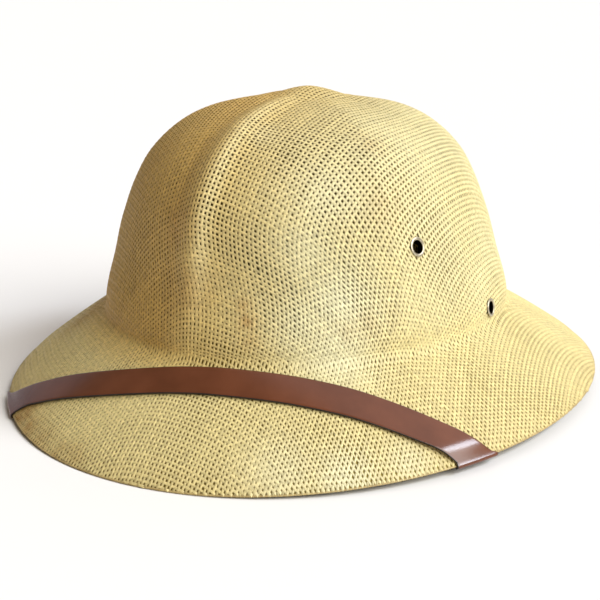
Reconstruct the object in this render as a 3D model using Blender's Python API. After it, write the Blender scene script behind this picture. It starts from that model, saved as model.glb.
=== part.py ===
# Straw sun hat: a tall ridged crown and a sloping brim of one woven cloth, a leather chin strap that lies
# over the front of the brim, and two pairs of brass eyelets. Metres, +Z up. The front looks to -Y, the
# wearer's left is +X, and the hat rests on the front and the back of its brim at z = 0.
#
# A turn goes round the hat in degrees: 0 at the front, 90 at the wearer's left, 180 at the back.
# A way goes down the cloth: -1 at the top of the crown, 0 at the crown's foot, 1 at the brim's edge.

import math

import bmesh
import bpy
import numpy as np
from mathutils import Matrix, Vector

# The cloth
WALL = 0.0015
BRIM_LENGTH = 0.364
BRIM_WIDTH = 0.304
BRIM_DROP = 0.0375
BRIM_BULGE = 0.001
CROWN_LENGTH = 0.240
CROWN_WIDTH = 0.208
CROWN_HEIGHT = 0.110
CROWN_FORWARD = 0.004
TOP_FORWARD = 0.006
FOOT_ROUND = 0.0045
FOOT_SIDE_RISE = 0.0025
FOOT_FRONT_RISE = 0.0015
EDGE_SIDE_RISE = 0.0055
REST_TURN = 12.0

# The pressed relief of the crown
RIDGE_HEIGHT = 0.004
RIDGE_SPREAD = 0.010
RIDGE_ROUND = 0.0015
RIDGE_START = 0.45
BUTTON_HEIGHT = 0.0026
BUTTON_RADIUS = 0.023

# The strap
STRAP_WIDTH = 0.0156
STRAP_THICKNESS = 0.0012
CLEARANCE = 0.0003

# The eyelets
EYELET_RADIUS = 0.0049
EYELET_HOLE_RADIUS = 0.0031
EYELET_METAL = 0.0004
EYELET_ROLL = 0.0010
EYELET_BACK_RADIUS = 0.0042
EYELET_BACK_SEAT = 0.0003
CUTTER_DEPTH = 0.012

# How finely the round forms are divided
FACET_TURN = 4.7
FACET_CROWDING = 0.35
RINGS_PER_SECTION = 2
FOOT_RINGS = 4
BRIM_RINGS = 5
STRAP_STEPS = 3
FOLD_STEPS = 4
EYELET_SIDES = 16
ROLL_STEPS = 4

# The crown's section. Climb is the share of the way from its foot to its top, and the others are shares
# of the crown's height, length and width there.
CROWN_SECTIONS = (
    # climb, height, length, width
    (0.00, 0.000, 1.000, 1.000),
    (0.03, 0.050, 0.995, 1.002),
    (0.08, 0.120, 0.976, 0.990),
    (0.18, 0.270, 0.918, 0.934),
    (0.29, 0.440, 0.880, 0.868),
    (0.39, 0.600, 0.838, 0.799),
    (0.49, 0.740, 0.744, 0.728),
    (0.60, 0.860, 0.610, 0.610),
    (0.72, 0.938, 0.462, 0.462),
    (0.84, 0.978, 0.278, 0.278),
    (1.00, 1.000, 0.000, 0.000),
)

# The ridges that run from the foot of the crown to its button. Height and spread are shares of a ridge's,
# and start is the distance from the top over which it fades into the button, as a share of the button's
# radius.
RIDGES = (
    # turn, height, spread, start
    (-124.0, 0.85, 2.4, 1.1),
    (-56.0, 0.85, 2.4, 0.8),
    (0.0, 1.00, 1.0, 0.8),
    (56.0, 0.85, 2.4, 0.8),
    (124.0, 0.85, 2.4, 1.1),
    (180.0, 1.00, 1.0, 2.2),
)

# The strap's middle line. A reach is a way on the upper face as far as 1, where the strap folds round the
# brim's edge. Past that it is 2 less the way on the lower face. Slant is 0 where the strap's section
# stands square to its run, and 1 where it lies along the brim's edge.
STRAP_LINE = (
    # turn, reach, slant
    (-77.0, 2.12, 0.0),
    (-77.0, 2.025, 0.0),
    (-77.0, 1.95, 0.0),
    (-76.0, 1.82, 0.0),
    (-72.0, 1.64, 0.0),
    (-65.0, 1.45, 0.1),
    (-57.0, 1.27, 0.4),
    (-49.0, 1.12, 0.8),
    (-40.8, 1.00, 1.0),
    (-34.0, 0.77, 0.6),
    (-27.0, 0.58, 0.1),
    (-18.0, 0.415, 0.0),
    (-8.0, 0.285, 0.0),
    (2.0, 0.20, 0.0),
    (12.0, 0.17, 0.0),
    (22.0, 0.19, 0.0),
    (31.0, 0.25, 0.0),
    (40.0, 0.365, 0.1),
    (48.0, 0.54, 0.4),
    (55.0, 0.765, 0.8),
    (60.2, 1.00, 1.0),
    (65.0, 1.20, 0.7),
    (69.5, 1.42, 0.2),
    (74.0, 1.66, 0.0),
    (76.5, 1.82, 0.0),
    (77.0, 1.95, 0.0),
    (77.0, 2.025, 0.0),
    (77.0, 2.12, 0.0),
)

# The eyelets of the wearer's left side. Height is a share of the crown's.
EYELETS = (
    # name, turn, height
    ("front", 64.0, 0.438),
    ("rear", 89.5, 0.081),
)

# The small steps that slopes are measured over, and the distance within which points are one
TURN_STEP = 0.05
WAY_STEP = 0.002
CLIMB_STEP = 0.01
INDEX_STEP = 0.05
JOIN_DISTANCE = 1e-6
SAMPLES = 400
SHARP_ANGLE = math.radians(40.0)
UP = Vector((0.0, 0.0, 1.0))


def smooth(share):
    """A step from 0 to 1 with a soft start and end."""
    share = np.clip(share, 0.0, 1.0)
    return share * share * (3.0 - 2.0 * share)


def through(stations, values, where):
    """A smooth curve through the values, which turns back only where they do."""
    stations = np.asarray(stations, float)
    values = np.asarray(values, float)
    steps = np.diff(stations)
    slopes = np.diff(values) / steps
    tangents = np.concatenate([slopes[:1], 0.5 * (slopes[1:] + slopes[:-1]), slopes[-1:]])
    limits = 3.0 * np.minimum(np.abs(slopes[1:]), np.abs(slopes[:-1]))
    same = slopes[1:] * slopes[:-1] > 0.0
    tangents[1:-1] = np.where(same, np.clip(tangents[1:-1], -limits, limits), 0.0)
    where = np.clip(np.asarray(where, float), stations[0], stations[-1])
    k = np.clip(np.searchsorted(stations, where, side="right") - 1, 0, len(steps) - 1)
    u = (where - stations[k]) / steps[k]
    start = values[k] * (1.0 + 2.0 * u) * (1.0 - u) ** 2 + tangents[k] * steps[k] * u * (1.0 - u) ** 2
    end = values[k + 1] * u**2 * (3.0 - 2.0 * u) - tangents[k + 1] * steps[k] * u**2 * (1.0 - u)
    return start + end


def column(table, index):
    return [row[index] for row in table]


def brim_steepness():
    """The cosine of the brim's slope at its front and back."""
    run = 0.5 * (BRIM_LENGTH - CROWN_LENGTH)
    return run / math.hypot(run, BRIM_DROP)


def hem_height(turn):
    """The height of the brim's lowest face: flat where the hat rests, and rising to the sides."""
    flat = math.sin(math.radians(REST_TURN)) ** 2
    side = np.sin(np.radians(turn)) ** 2
    return EDGE_SIDE_RISE * np.clip((side - flat) / (1.0 - flat), 0.0, None)


def edge_height(turn):
    return hem_height(turn) + WALL * brim_steepness()


def foot_height(turn):
    s, c = np.sin(np.radians(turn)), np.cos(np.radians(turn))
    return BRIM_DROP + WALL * brim_steepness() + FOOT_SIDE_RISE * s**2 + FOOT_FRONT_RISE * c


def mean_radius(climb):
    length = through(column(CROWN_SECTIONS, 0), column(CROWN_SECTIONS, 2), climb) * CROWN_LENGTH
    width = through(column(CROWN_SECTIONS, 0), column(CROWN_SECTIONS, 3), climb) * CROWN_WIDTH
    return 0.25 * (length + width)


def height_share(climb):
    return through(column(CROWN_SECTIONS, 0), column(CROWN_SECTIONS, 1), climb)


def crown_arc():
    """The length of the crown's section from its foot to its top."""
    climb = np.linspace(0.0, 1.0, SAMPLES)
    return np.hypot(np.diff(mean_radius(climb)), np.diff(height_share(climb) * CROWN_HEIGHT)).sum()


def ridge_lift(turn, climb):
    """How far the pressed ridges raise the crown. Under the button they raise it evenly."""
    radius = mean_radius(climb)
    crest = np.exp(-((radius / BUTTON_RADIUS) ** 2))
    for ridge_turn, height, spread, start in RIDGES:
        away = radius * np.radians(np.abs((turn - ridge_turn + 180.0) % 360.0 - 180.0))
        away = np.sqrt(away**2 + RIDGE_ROUND**2) - RIDGE_ROUND
        begun = 1.0 - np.exp(-((radius / (start * BUTTON_RADIUS)) ** 2))
        crest = np.maximum(crest, height * begun * np.exp(-away / (spread * RIDGE_SPREAD)))
    return RIDGE_HEIGHT * crest * smooth(height_share(climb) / RIDGE_START)


def crown(turn, climb):
    s, c = np.sin(np.radians(turn)), np.cos(np.radians(turn))
    height = height_share(climb)
    length = through(column(CROWN_SECTIONS, 0), column(CROWN_SECTIONS, 2), climb)
    width = through(column(CROWN_SECTIONS, 0), column(CROWN_SECTIONS, 3), climb)
    foot = foot_height(turn)
    top = BRIM_DROP + WALL * brim_steepness() + CROWN_HEIGHT
    near = np.clip(np.stack([climb - CLIMB_STEP, climb + CLIMB_STEP]), 0.0, 1.0)
    rise = np.diff(height_share(near) * CROWN_HEIGHT, axis=0)[0]
    shrink = np.diff(mean_radius(near), axis=0)[0]
    slope = np.hypot(rise, shrink)
    lift = ridge_lift(turn, climb)
    button = BUTTON_HEIGHT * np.exp(-((mean_radius(climb) / BUTTON_RADIUS) ** 2))
    x = 0.5 * CROWN_WIDTH * width * s + lift * rise / slope * s
    y = -CROWN_FORWARD - TOP_FORWARD * height - 0.5 * CROWN_LENGTH * length * c - lift * rise / slope * c
    z = foot + (top - foot) * height - lift * shrink / slope + button
    return np.stack([x, y, z], -1)


def brim(turn, share):
    s, c = np.sin(np.radians(turn)), np.cos(np.radians(turn))
    foot = np.stack([0.5 * CROWN_WIDTH * s, -CROWN_FORWARD - 0.5 * CROWN_LENGTH * c, foot_height(turn)], -1)
    edge = np.stack([0.5 * BRIM_WIDTH * s, -0.5 * BRIM_LENGTH * c, edge_height(turn)], -1)
    share = np.asarray(share)[..., None]
    bulge = 4.0 * BRIM_BULGE * share * (1.0 - share)
    return foot + (edge - foot) * share + bulge * np.array([0.0, 0.0, 1.0])


def cloth(turn, way):
    """Points on the cloth's upper face, with the foot of the crown rounded."""
    turn, way = np.broadcast_arrays(np.asarray(turn, float), np.asarray(way, float))
    above = np.full_like(way, FOOT_ROUND / crown_arc())
    below = np.full_like(way, FOOT_ROUND / (0.5 * (BRIM_LENGTH - CROWN_LENGTH) / brim_steepness()))
    u = np.clip((way + above) / (above + below), 0.0, 1.0)[..., None]
    foot = (1.0 - u) ** 2 * crown(turn, above) + 2.0 * u * (1.0 - u) * brim(turn, np.zeros_like(way))
    foot = foot + u**2 * brim(turn, below)
    up, down = crown(turn, np.maximum(-way, above)), brim(turn, np.maximum(way, below))
    return np.where((way < -above)[..., None], up, np.where((way > below)[..., None], down, foot))


def unit(vector):
    return vector / np.linalg.norm(vector, axis=-1, keepdims=True)


def runs(turn, way):
    """How the cloth runs there: per degree of turn, and per unit of way."""
    way = np.clip(way, -1.0 + 4.0 * WAY_STEP, 1.0 - WAY_STEP)
    round_it = (cloth(turn + TURN_STEP, way) - cloth(turn - TURN_STEP, way)) / (2.0 * TURN_STEP)
    down_it = (cloth(turn, way + WAY_STEP) - cloth(turn, way - WAY_STEP)) / (2.0 * WAY_STEP)
    return round_it, down_it


def outward(turn, way):
    """The cloth's outward direction."""
    round_it, down_it = runs(turn, way)
    return unit(np.cross(down_it, round_it))


def way_at(height):
    """The way at which the crown has that share of its height."""
    climb = np.linspace(0.0, 1.0, SAMPLES)
    return -float(np.interp(height, height_share(climb), climb))


def facet_turns():
    """The turns of the facets' upright edges, closer together near each ridge."""
    turns = []
    ridge_turns = sorted(column(RIDGES, 0))
    for start, end in zip(ridge_turns, ridge_turns[1:] + [ridge_turns[0] + 360.0]):
        steps = max(4, round((end - start) / FACET_TURN))
        for k in range(steps):
            share = k / steps
            share -= FACET_CROWDING * math.sin(2.0 * math.pi * share) / (2.0 * math.pi)
            turns.append(start + (end - start) * share)
    return turns + [turns[0] + 360.0]


def facet_ways():
    """The ways of the facets' level edges, from the top of the crown to the brim's edge."""
    above = FOOT_ROUND / crown_arc()
    below = FOOT_ROUND / (0.5 * (BRIM_LENGTH - CROWN_LENGTH) / brim_steepness())
    climbs = [above] + column(CROWN_SECTIONS, 0)[1:]
    places = np.arange(RINGS_PER_SECTION * (len(climbs) - 1) + 1) / RINGS_PER_SECTION
    crown_ways = -np.interp(places, np.arange(len(climbs)), climbs)[::-1]
    foot_ways = np.linspace(-above, below, FOOT_RINGS)
    brim_ways = np.linspace(below, 1.0, BRIM_RINGS + 1)
    return np.concatenate([crown_ways, foot_ways[1:-1], brim_ways])


def material(name, colour, roughness, metallic=0.0):
    new = bpy.data.materials.new(name)
    new.use_nodes = True
    shader = new.node_tree.nodes["Principled BSDF"]
    shader.inputs["Base Color"].default_value = (*colour, 1.0)
    shader.inputs["Roughness"].default_value = roughness
    shader.inputs["Metallic"].default_value = metallic
    return new


def wrapped_grid(points):
    """A flat grid bent to the points, a row of them for each of its rows, with its seams joined and any
    hole at its ends filled."""
    rows, columns = points.shape[:2]
    mesh = bmesh.new()
    bmesh.ops.create_grid(mesh, x_segments=columns - 1, y_segments=rows - 1, size=0.5)
    for vertex in mesh.verts:
        i = round((vertex.co.y + 0.5) * (rows - 1))
        j = round((vertex.co.x + 0.5) * (columns - 1))
        vertex.co = points[i, j]
    bmesh.ops.remove_doubles(mesh, verts=mesh.verts[:], dist=JOIN_DISTANCE)
    rims = [edge for edge in mesh.edges if edge.is_boundary]
    if rims:
        bmesh.ops.holes_fill(mesh, edges=rims, sides=0)
    bmesh.ops.recalc_face_normals(mesh, faces=mesh.faces[:])
    return mesh


def piece(name, mesh, finish, parent):
    """Makes the object of a finished mesh."""
    data = bpy.data.meshes.new(name)
    mesh.to_mesh(data)
    mesh.free()
    data.materials.append(finish)
    data.shade_smooth()
    data.set_sharp_from_angle(angle=SHARP_ANGLE)
    new = bpy.data.objects.new(name, data)
    new.parent = parent
    bpy.context.scene.collection.objects.link(new)
    return new


def straw_body(finish, parent):
    """Crown and brim, one wall: down its upper face, round the brim's edge and up its lower face."""
    turns = np.array(facet_turns())
    ways = facet_ways()
    rows = [cloth(turns, np.full_like(turns, way)) for way in ways]
    rows.append(rows[-1].copy())
    for way in ways[::-1]:
        where = np.full_like(turns, way)
        rows.append(cloth(turns, where) - WALL * outward(turns, where))
    for hem in rows[len(ways) : len(ways) + 2]:
        hem[:, 2] = hem_height(turns)
    rows[0][:] = rows[0].mean(axis=0)
    rows[-1][:] = rows[0] - WALL * np.array(UP)
    return piece("straw_body", wrapped_grid(np.array(rows)), finish, parent)


def strap_section(index, side, fold):
    """The strap's section there. Side is 1 on the upper face and -1 on the lower, and fold is the angle
    that it has gone round the brim's edge."""
    stations = np.arange(len(STRAP_LINE))
    turn, reach, slant = [float(through(stations, column(STRAP_LINE, k), index)) for k in range(3)]
    ends = np.clip([index - INDEX_STEP, index + INDEX_STEP], 0.0, stations[-1])
    turn_run, reach_run = [np.diff(through(stations, column(STRAP_LINE, k), ends))[0] for k in range(2)]
    way = reach if side > 0 else 2.0 - reach
    round_it, down_it = runs(turn, way)
    normal = outward(turn, way)
    along = unit(round_it * turn_run + down_it * side * reach_run)
    across = side * np.cross(normal, along)
    chart = np.linalg.pinv(np.stack([round_it, down_it], -1))
    step = chart @ across
    if slant > 0.0:
        step = step - slant * (chart @ along) * step[1] / (chart @ along)[1]
    shares = np.array([-0.5, 0.0, 0.5])
    turns = turn + shares * STRAP_WIDTH * step[0]
    ways = np.minimum(way + shares * STRAP_WIDTH * step[1], 1.0)
    if fold is not None:
        ways = np.ones(3)
    base, normal = cloth(turns, ways), outward(turns, ways)
    faces = []
    for lift in (CLEARANCE, CLEARANCE + STRAP_THICKNESS):
        if fold is None:
            faces.append(base + normal * (lift if side > 0 else -WALL - lift))
            continue
        past = unit(np.cross(runs(turns, ways)[0], normal))
        turned = math.cos(fold) * normal + math.sin(fold) * past
        faces.append(base - 0.5 * WALL * normal + (0.5 * WALL + lift) * turned)
    loop = list(faces[0]) + list(faces[1][::-1])
    return loop + [loop[0]]


def strap_places():
    """The strap's sections in order, as index, side and fold."""
    folds = [k for k, row in enumerate(STRAP_LINE) if row[1] == 1.0]
    places = []
    for k in range(len(STRAP_LINE) - 1):
        side = 1 if folds[0] <= k < folds[1] else -1
        if k in folds:
            angles = np.linspace(math.pi, 0.0, FOLD_STEPS + 1)
            places += [(k, side, fold) for fold in (angles if side > 0 else angles[::-1])]
        else:
            places.append((k, side, None))
        places += [(k + step / STRAP_STEPS, side, None) for step in range(1, STRAP_STEPS)]
    return places + [(len(STRAP_LINE) - 1, -1, None)]


def chin_strap(finish, parent):
    rows = np.array([strap_section(*place) for place in strap_places()])
    return piece("chin_strap", wrapped_grid(rows), finish, parent)


def eyelet_mesh():
    """A ring turned round Z: a rolled flange above the wall, a barrel through it and a flat flange below."""
    barrel = EYELET_HOLE_RADIUS + EYELET_METAL
    below = -WALL - CLEARANCE - EYELET_BACK_SEAT
    middle = 0.5 * (EYELET_HOLE_RADIUS + EYELET_RADIUS)
    profile = [(EYELET_HOLE_RADIUS, below - EYELET_METAL)]
    for k in range(ROLL_STEPS + 1):
        angle = math.pi * (1.0 - k / ROLL_STEPS)
        out = (EYELET_RADIUS - middle) * math.cos(angle)
        profile.append((middle + out, CLEARANCE + EYELET_ROLL * math.sin(angle)))
    profile += [(barrel, CLEARANCE), (barrel, below), (EYELET_BACK_RADIUS, below)]
    profile += [(EYELET_BACK_RADIUS, below - EYELET_METAL)]
    mesh = bmesh.new()
    corners = [mesh.verts.new((radius, 0.0, height)) for radius, height in profile]
    edges = [mesh.edges.new(pair) for pair in zip(corners, corners[1:] + corners[:1])]
    bmesh.ops.spin(
        mesh, geom=corners + edges, cent=(0, 0, 0), axis=UP, angle=2.0 * math.pi, steps=EYELET_SIDES,
        use_merge=True,
    )
    bmesh.ops.remove_doubles(mesh, verts=mesh.verts[:], dist=JOIN_DISTANCE)
    bmesh.ops.recalc_face_normals(mesh, faces=mesh.faces[:])
    return mesh


def seat(turn, height):
    """Where an eyelet sits, with Z out of the cloth."""
    way = way_at(height)
    normal = Vector(outward(turn, way))
    return Matrix.Translation(Vector(cloth(turn, way))) @ normal.to_track_quat("Z", "Y").to_matrix().to_4x4()


def eyelet_hole(body, name, place, parent):
    """Cuts the eyelet's hole, a clearance wider than its barrel."""
    radius = EYELET_HOLE_RADIUS + EYELET_METAL + CLEARANCE
    mesh = bmesh.new()
    bmesh.ops.create_cone(
        mesh, cap_ends=True, segments=EYELET_SIDES, radius1=radius, radius2=radius, depth=CUTTER_DEPTH
    )
    data = bpy.data.meshes.new(name)
    mesh.to_mesh(data)
    mesh.free()
    cutter = bpy.data.objects.new(name, data)
    cutter.parent = parent
    cutter.matrix_world = place
    cutter.hide_render = True
    cutter.display_type = "WIRE"
    bpy.context.scene.collection.objects.link(cutter)
    cut = body.modifiers.new(name, "BOOLEAN")
    cut.operation = "DIFFERENCE"
    cut.solver = "EXACT"
    cut.object = cutter


def build():
    for old in list(bpy.data.objects):
        bpy.data.objects.remove(old, do_unlink=True)
    hat = bpy.data.objects.new("straw_hat", None)
    bpy.context.scene.collection.objects.link(hat)
    body = straw_body(material("straw", (0.76, 0.62, 0.33), 0.75), hat)
    chin_strap(material("leather", (0.17, 0.06, 0.035), 0.35), hat)
    brass = material("brass", (0.33, 0.26, 0.13), 0.4, 1.0)
    for side, sign in (("left", 1.0), ("right", -1.0)):
        for name, turn, height in EYELETS:
            place = seat(sign * turn, height)
            eyelet = piece(f"eyelet_{side}_{name}", eyelet_mesh(), brass, hat)
            eyelet.matrix_world = place
            eyelet_hole(body, f"hole_{side}_{name}", place, hat)


build()
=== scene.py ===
# The looks of the straw sun hat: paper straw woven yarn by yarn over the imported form, a glossy leather
# strap, rolled brass eyelets, a pale floor, soft light and the camera. Metres, +Z up, front to -Y.
# Turns and ways are the part's own: a turn goes round the hat in degrees from the front, towards the
# wearer's left, and a way goes down the cloth, -1 at the top, 0 at the crown's foot, 1 at the edge.
import math

import bmesh
import bpy
import numpy as np
from mathutils import Matrix, Vector


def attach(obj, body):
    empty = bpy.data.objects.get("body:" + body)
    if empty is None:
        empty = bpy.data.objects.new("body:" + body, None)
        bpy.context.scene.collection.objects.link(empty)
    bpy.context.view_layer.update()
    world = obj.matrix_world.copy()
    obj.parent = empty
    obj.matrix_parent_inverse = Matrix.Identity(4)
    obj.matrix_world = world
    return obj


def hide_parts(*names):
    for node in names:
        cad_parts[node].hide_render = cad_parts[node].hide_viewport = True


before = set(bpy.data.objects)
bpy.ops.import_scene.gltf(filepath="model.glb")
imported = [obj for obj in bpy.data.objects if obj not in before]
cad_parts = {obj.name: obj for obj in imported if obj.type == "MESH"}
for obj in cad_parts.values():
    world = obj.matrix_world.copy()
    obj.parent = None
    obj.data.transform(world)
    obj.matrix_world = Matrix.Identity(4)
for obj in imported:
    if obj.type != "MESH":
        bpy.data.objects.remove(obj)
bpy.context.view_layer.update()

mergeDistance = 1e-6

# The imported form's own sizes and tables, from which each place on the cloth is worked out
form = {
    "wall": 0.0015,
    "brimLength": 0.364,
    "brimWidth": 0.304,
    "brimDrop": 0.0375,
    "brimBulge": 0.001,
    "crownLength": 0.240,
    "crownWidth": 0.208,
    "crownHeight": 0.110,
    "crownForward": 0.004,
    "topForward": 0.006,
    "footRound": 0.0045,
    "footSideRise": 0.0025,
    "footFrontRise": 0.0015,
    "edgeSideRise": 0.0055,
    "restTurn": 12.0,
    "ridgeHeight": 0.004,
    "ridgeSpread": 0.010,
    "ridgeRound": 0.0015,
    "ridgeStart": 0.45,
    "buttonHeight": 0.0026,
    "buttonRadius": 0.023,
    "turnStep": 0.05,
    "wayStep": 0.002,
    "climbStep": 0.01,
    "climbSteps": 400,
}

crownSections = (
    # climb, height, length, width
    (0.00, 0.000, 1.000, 1.000),
    (0.03, 0.050, 0.995, 1.002),
    (0.08, 0.120, 0.976, 0.990),
    (0.18, 0.270, 0.918, 0.934),
    (0.29, 0.440, 0.880, 0.868),
    (0.39, 0.600, 0.838, 0.799),
    (0.49, 0.740, 0.744, 0.728),
    (0.60, 0.860, 0.610, 0.610),
    (0.72, 0.938, 0.462, 0.462),
    (0.84, 0.978, 0.278, 0.278),
    (1.00, 1.000, 0.000, 0.000),
)

# The front ridge is pressed 3 degrees aside of the middle, as in the photograph
ridges = (
    # turn, height, spread, start, power
    (-124.0, 0.85, 2.4, 1.1, 1.0),
    (-56.0, 0.85, 2.4, 0.8, 1.0),
    (-3.0, 1.00, 0.9, 0.8, 1.5),
    (56.0, 0.85, 2.4, 0.8, 1.0),
    (124.0, 0.85, 2.4, 1.1, 1.0),
    (180.0, 1.00, 1.0, 2.2, 1.0),
)


def smooth(share):
    share = np.clip(share, 0.0, 1.0)
    return share * share * (3.0 - 2.0 * share)


# A smooth curve through a table's values, which turns back only where they do
def through(stations, values, where):
    stations = np.asarray(stations, float)
    values = np.asarray(values, float)
    steps = np.diff(stations)
    slopes = np.diff(values) / steps
    tangents = np.concatenate([slopes[:1], 0.5 * (slopes[1:] + slopes[:-1]), slopes[-1:]])
    limits = 3.0 * np.minimum(np.abs(slopes[1:]), np.abs(slopes[:-1]))
    same = slopes[1:] * slopes[:-1] > 0.0
    tangents[1:-1] = np.where(same, np.clip(tangents[1:-1], -limits, limits), 0.0)
    where = np.clip(np.asarray(where, float), stations[0], stations[-1])
    k = np.clip(np.searchsorted(stations, where, side="right") - 1, 0, len(steps) - 1)
    u = (where - stations[k]) / steps[k]
    start = values[k] * (1.0 + 2.0 * u) * (1.0 - u) ** 2 + tangents[k] * steps[k] * u * (1.0 - u) ** 2
    end = values[k + 1] * u**2 * (3.0 - 2.0 * u) - tangents[k + 1] * steps[k] * u**2 * (1.0 - u)
    return start + end


def column(table, index):
    return [row[index] for row in table]


def sectionShare(index, climb):
    return through(column(crownSections, 0), column(crownSections, index), climb)


def brimSteepness():
    run = 0.5 * (form["brimLength"] - form["crownLength"])
    return run / math.hypot(run, form["brimDrop"])


def hemHeight(turn):
    flat = math.sin(math.radians(form["restTurn"])) ** 2
    side = np.sin(np.radians(turn)) ** 2
    return form["edgeSideRise"] * np.clip((side - flat) / (1.0 - flat), 0.0, None)


def footHeight(turn):
    s, c = np.sin(np.radians(turn)), np.cos(np.radians(turn))
    base = form["brimDrop"] + form["wall"] * brimSteepness()
    return base + form["footSideRise"] * s**2 + form["footFrontRise"] * c


def meanRadius(climb):
    length = sectionShare(2, climb) * form["crownLength"]
    width = sectionShare(3, climb) * form["crownWidth"]
    return 0.25 * (length + width)


def ridgeLift(turn, climb):
    radius = meanRadius(climb)
    crest = np.exp(-((radius / form["buttonRadius"]) ** 2))
    for ridgeTurn, height, spread, start, power in ridges:
        away = radius * np.radians(np.abs((turn - ridgeTurn + 180.0) % 360.0 - 180.0))
        away = np.sqrt(away**2 + form["ridgeRound"] ** 2) - form["ridgeRound"]
        begun = 1.0 - np.exp(-((radius / (start * form["buttonRadius"])) ** 2))
        fade = np.exp(-((away / (spread * form["ridgeSpread"])) ** power))
        crest = np.maximum(crest, height * begun * fade)
    return form["ridgeHeight"] * crest * smooth(sectionShare(1, climb) / form["ridgeStart"])


def crown(turn, climb):
    s, c = np.sin(np.radians(turn)), np.cos(np.radians(turn))
    height = sectionShare(1, climb)
    foot = footHeight(turn)
    top = form["brimDrop"] + form["wall"] * brimSteepness() + form["crownHeight"]
    near = np.clip(np.stack([climb - form["climbStep"], climb + form["climbStep"]]), 0.0, 1.0)
    rise = np.diff(sectionShare(1, near) * form["crownHeight"], axis=0)[0]
    shrink = np.diff(meanRadius(near), axis=0)[0]
    slope = np.hypot(rise, shrink)
    lift = ridgeLift(turn, climb)
    button = form["buttonHeight"] * np.exp(-((meanRadius(climb) / form["buttonRadius"]) ** 2))
    halfWidth = 0.5 * form["crownWidth"] * sectionShare(3, climb) + lift * rise / slope
    halfLength = 0.5 * form["crownLength"] * sectionShare(2, climb) + lift * rise / slope
    y = -form["crownForward"] - form["topForward"] * height - halfLength * c
    z = foot + (top - foot) * height - lift * shrink / slope + button
    return np.stack([halfWidth * s, y, z], -1)


def brim(turn, share):
    s, c = np.sin(np.radians(turn)), np.cos(np.radians(turn))
    footY = -form["crownForward"] - 0.5 * form["crownLength"] * c
    foot = np.stack([0.5 * form["crownWidth"] * s, footY, footHeight(turn)], -1)
    edgeZ = hemHeight(turn) + form["wall"] * brimSteepness()
    edge = np.stack([0.5 * form["brimWidth"] * s, -0.5 * form["brimLength"] * c, edgeZ], -1)
    share = np.asarray(share)[..., None]
    bulge = 4.0 * form["brimBulge"] * share * (1.0 - share)
    return foot + (edge - foot) * share + bulge * np.array([0.0, 0.0, 1.0])


def crownArc():
    climb = np.linspace(0.0, 1.0, form["climbSteps"])
    rise = np.diff(sectionShare(1, climb) * form["crownHeight"])
    return np.hypot(np.diff(meanRadius(climb)), rise).sum()


form["crownArc"] = crownArc()


# Points on the cloth's upper face, with the foot of the crown rounded
def cloth(turn, way):
    turn, way = np.broadcast_arrays(np.asarray(turn, float), np.asarray(way, float))
    above = np.full_like(way, form["footRound"] / form["crownArc"])
    run = 0.5 * (form["brimLength"] - form["crownLength"]) / brimSteepness()
    below = np.full_like(way, form["footRound"] / run)
    u = np.clip((way + above) / (above + below), 0.0, 1.0)[..., None]
    foot = (1.0 - u) ** 2 * crown(turn, above) + 2.0 * u * (1.0 - u) * brim(turn, np.zeros_like(way))
    foot = foot + u**2 * brim(turn, below)
    up, down = crown(turn, np.maximum(-way, above)), brim(turn, np.maximum(way, below))
    return np.where((way < -above)[..., None], up, np.where((way > below)[..., None], down, foot))


def unit(vector):
    return vector / np.linalg.norm(vector, axis=-1, keepdims=True)


# How the cloth runs there: per degree of turn, and per unit of way
def runs(turn, way):
    turnStep, wayStep = form["turnStep"], form["wayStep"]
    way = np.clip(way, -1.0 + 4.0 * wayStep, 1.0 - wayStep)
    roundIt = (cloth(turn + turnStep, way) - cloth(turn - turnStep, way)) / (2.0 * turnStep)
    downIt = (cloth(turn, way + wayStep) - cloth(turn, way - wayStep)) / (2.0 * wayStep)
    return roundIt, downIt


def outward(turn, way):
    roundIt, downIt = runs(turn, way)
    return unit(np.cross(downIt, roundIt))


# The way down the crown at which it has this share of its height
def wayAt(height):
    climb = np.linspace(0.0, 1.0, form["climbSteps"])
    return -float(np.interp(height, sectionShare(1, climb), climb))


# A colour as Blender mixes it, from its sRGB hex value
def linear(text):
    values = [int(text[k : k + 2], 16) / 255.0 for k in (0, 2, 4)]
    values = [v / 12.92 if v <= 0.04045 else ((v + 0.055) / 1.055) ** 2.4 for v in values]
    return (*values, 1.0)


# Adds a node, sets its own settings and a ramp's stops, and fills each input with a value or a link
def addNode(tree, kind, inputs=None, stops=(), **settings):
    node = tree.nodes.new(kind)
    for name, value in settings.items():
        setattr(node, name, value)
    for name, value in (inputs or {}).items():
        if isinstance(value, bpy.types.NodeSocket):
            tree.links.new(value, node.inputs[name])
        else:
            node.inputs[name].default_value = value
    if stops:
        elements = node.color_ramp.elements
        while len(elements) < len(stops):
            elements.new(0.5)
        for element, (position, colour) in zip(elements, stops):
            element.position = position
            element.color = linear(colour)
    return node


def newMaterial(name):
    material = bpy.data.materials.new(name)
    material.use_nodes = True
    return material, material.node_tree, material.node_tree.nodes["Principled BSDF"]


# A material whose colour clouds between two tones. The size of its patches is one metre over the scale.
def mottledMaterial(name, scale, detail, dark, light, roughness, metallic=0.0):
    material, tree, shader = newMaterial(name)
    place = addNode(tree, "ShaderNodeTexCoord").outputs["Object"]
    patch = addNode(
        tree, "ShaderNodeTexNoise", {"Vector": place, "Scale": scale, "Detail": detail}
    ).outputs["Fac"]
    colour = addNode(tree, "ShaderNodeValToRGB", {"Fac": patch}, stops=((0.3, dark), (0.7, light)))
    tree.links.new(colour.outputs["Color"], shader.inputs["Base Color"])
    shader.inputs["Roughness"].default_value = roughness
    shader.inputs["Metallic"].default_value = metallic
    return material, tree, shader, place


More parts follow.
